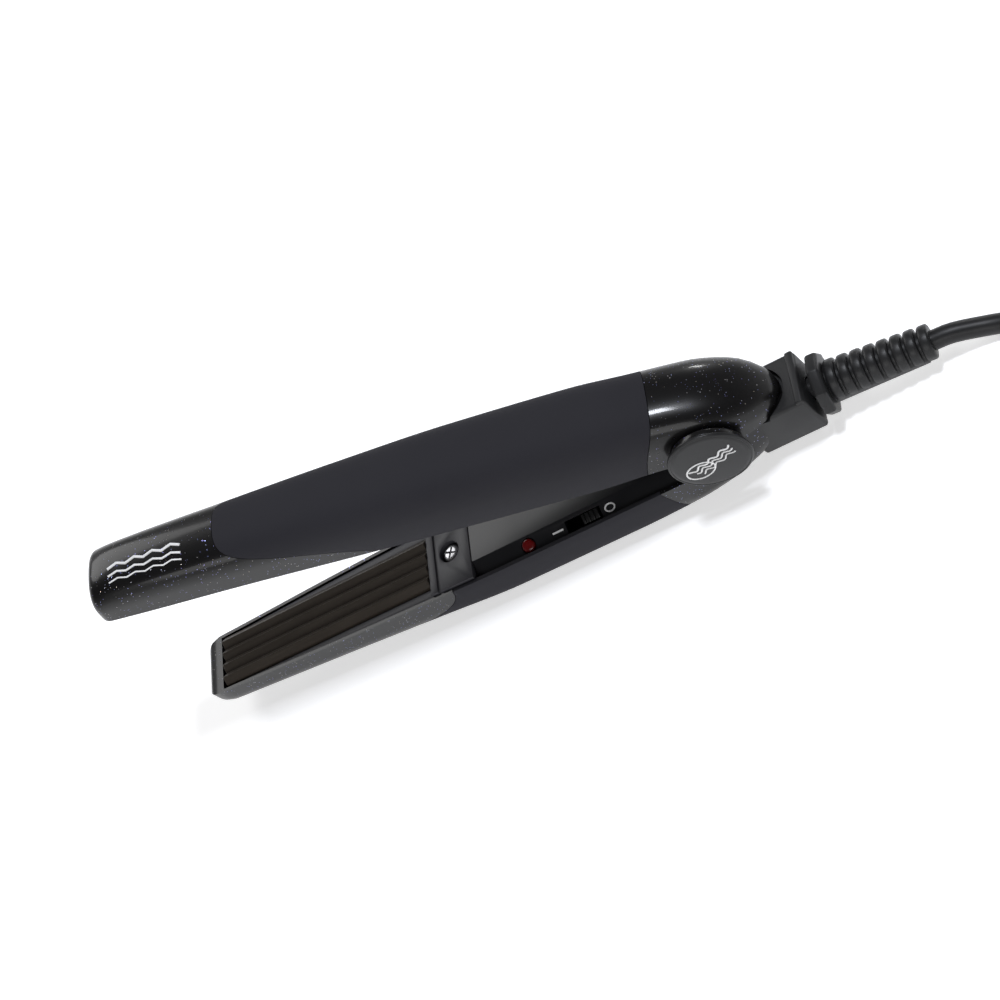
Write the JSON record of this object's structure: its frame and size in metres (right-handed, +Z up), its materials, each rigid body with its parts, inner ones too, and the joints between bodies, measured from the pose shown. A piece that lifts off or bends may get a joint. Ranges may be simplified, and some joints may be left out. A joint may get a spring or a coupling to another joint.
{
  "type": "hair crimper",
  "caption": "Small hair crimper: two spring-opened arms with ridged heating plates, rubber grips, a slide switch with an indicator light and a tied mains cord.",
  "frame": {"origin": "centre of the bounding box of the crimper without its cord, hank, tie and plug, on the surface that the lower grip lies on", "axes": "+X from the tip of the arms towards the hinge and the cord, +Y towards the side without the large hinge cap, +Z up from the lower arm to the upper arm; the hinge axis is parallel to Y"},
  "size_m": [0.3725, 0.045, 0.0726],
  "materials": {
    "gloss_shell": "gloss",
    "grip_rubber": "matte",
    "plate_coating": "satin",
    "cover_plastic": "satin",
    "carrier_plastic": "satin",
    "cap_plastic": "satin",
    "bright_steel": "satin",
    "dark_screw": "satin",
    "heater_ceramic": "matte",
    "board_laminate": "matte",
    "switch_plastic": "satin",
    "red_lens": "gloss",
    "lamp_glass": "gloss",
    "brown_lead": "satin",
    "blue_lead": "satin",
    "cord_sheath": "satin",
    "tie_strap": "matte",
    "plug_nickel": "satin"
  },
  "bodies": {
    "lower_arm": {"lower_shell": "gloss_shell", "lower_grip": "grip_rubber", "lower_crimp_plate": "plate_coating", "lower_plate_carrier": "carrier_plastic", "lower_heater": "heater_ceramic", "lower_heater_clip": "bright_steel", "lower_carrier_screw": "dark_screw", "inner_cover": "cover_plastic", "circuit_board": "board_laminate", "switch_body": "switch_plastic", "thermal_fuse": "bright_steel", "indicator_led": "lamp_glass", "indicator_lens": "red_lens", "live_lead": "brown_lead", "neutral_lead": "blue_lead", "cord_clamp": "carrier_plastic", "clamp_screw_near": "bright_steel", "clamp_screw_far": "bright_steel", "hinge_pin": "bright_steel", "hinge_cap_near": "cap_plastic", "opening_spring": "bright_steel", "strain_relief": "cord_sheath", "mains_cord": "cord_sheath", "cord_hank": "cord_sheath", "cord_tie": "tie_strap", "plug_body": "cord_sheath", "plug_pin_near": "plug_nickel", "plug_pin_far": "plug_nickel", "plug_cord": "cord_sheath"},
    "upper_arm": {"upper_shell": "gloss_shell", "upper_grip": "grip_rubber", "upper_crimp_plate": "plate_coating", "upper_plate_carrier": "carrier_plastic", "upper_heater": "heater_ceramic", "upper_heater_clip": "bright_steel", "upper_carrier_screw": "dark_screw", "upper_inner_cover": "cover_plastic", "upper_lead_near": "brown_lead", "upper_lead_far": "brown_lead", "hinge_cap_far": "cap_plastic"},
    "switch": {"switch_knob": "switch_plastic"}
  },
  "joints": [
    {"name": "arm_hinge", "type": "hinge", "parent": "lower_arm", "child": "upper_arm", "pos_m": [0.05449, 0.00145, 0.0208], "axis": [0, -1, 0], "range_deg": [0, 17.5], "stiffness_Nm_per_rad": 0.3, "springref_deg": -28.65},
    {"name": "switch_slide", "type": "slide", "parent": "lower_arm", "child": "switch", "axis": [-1, 0, 0], "range_m": [0, 0.0045]}
  ]
}
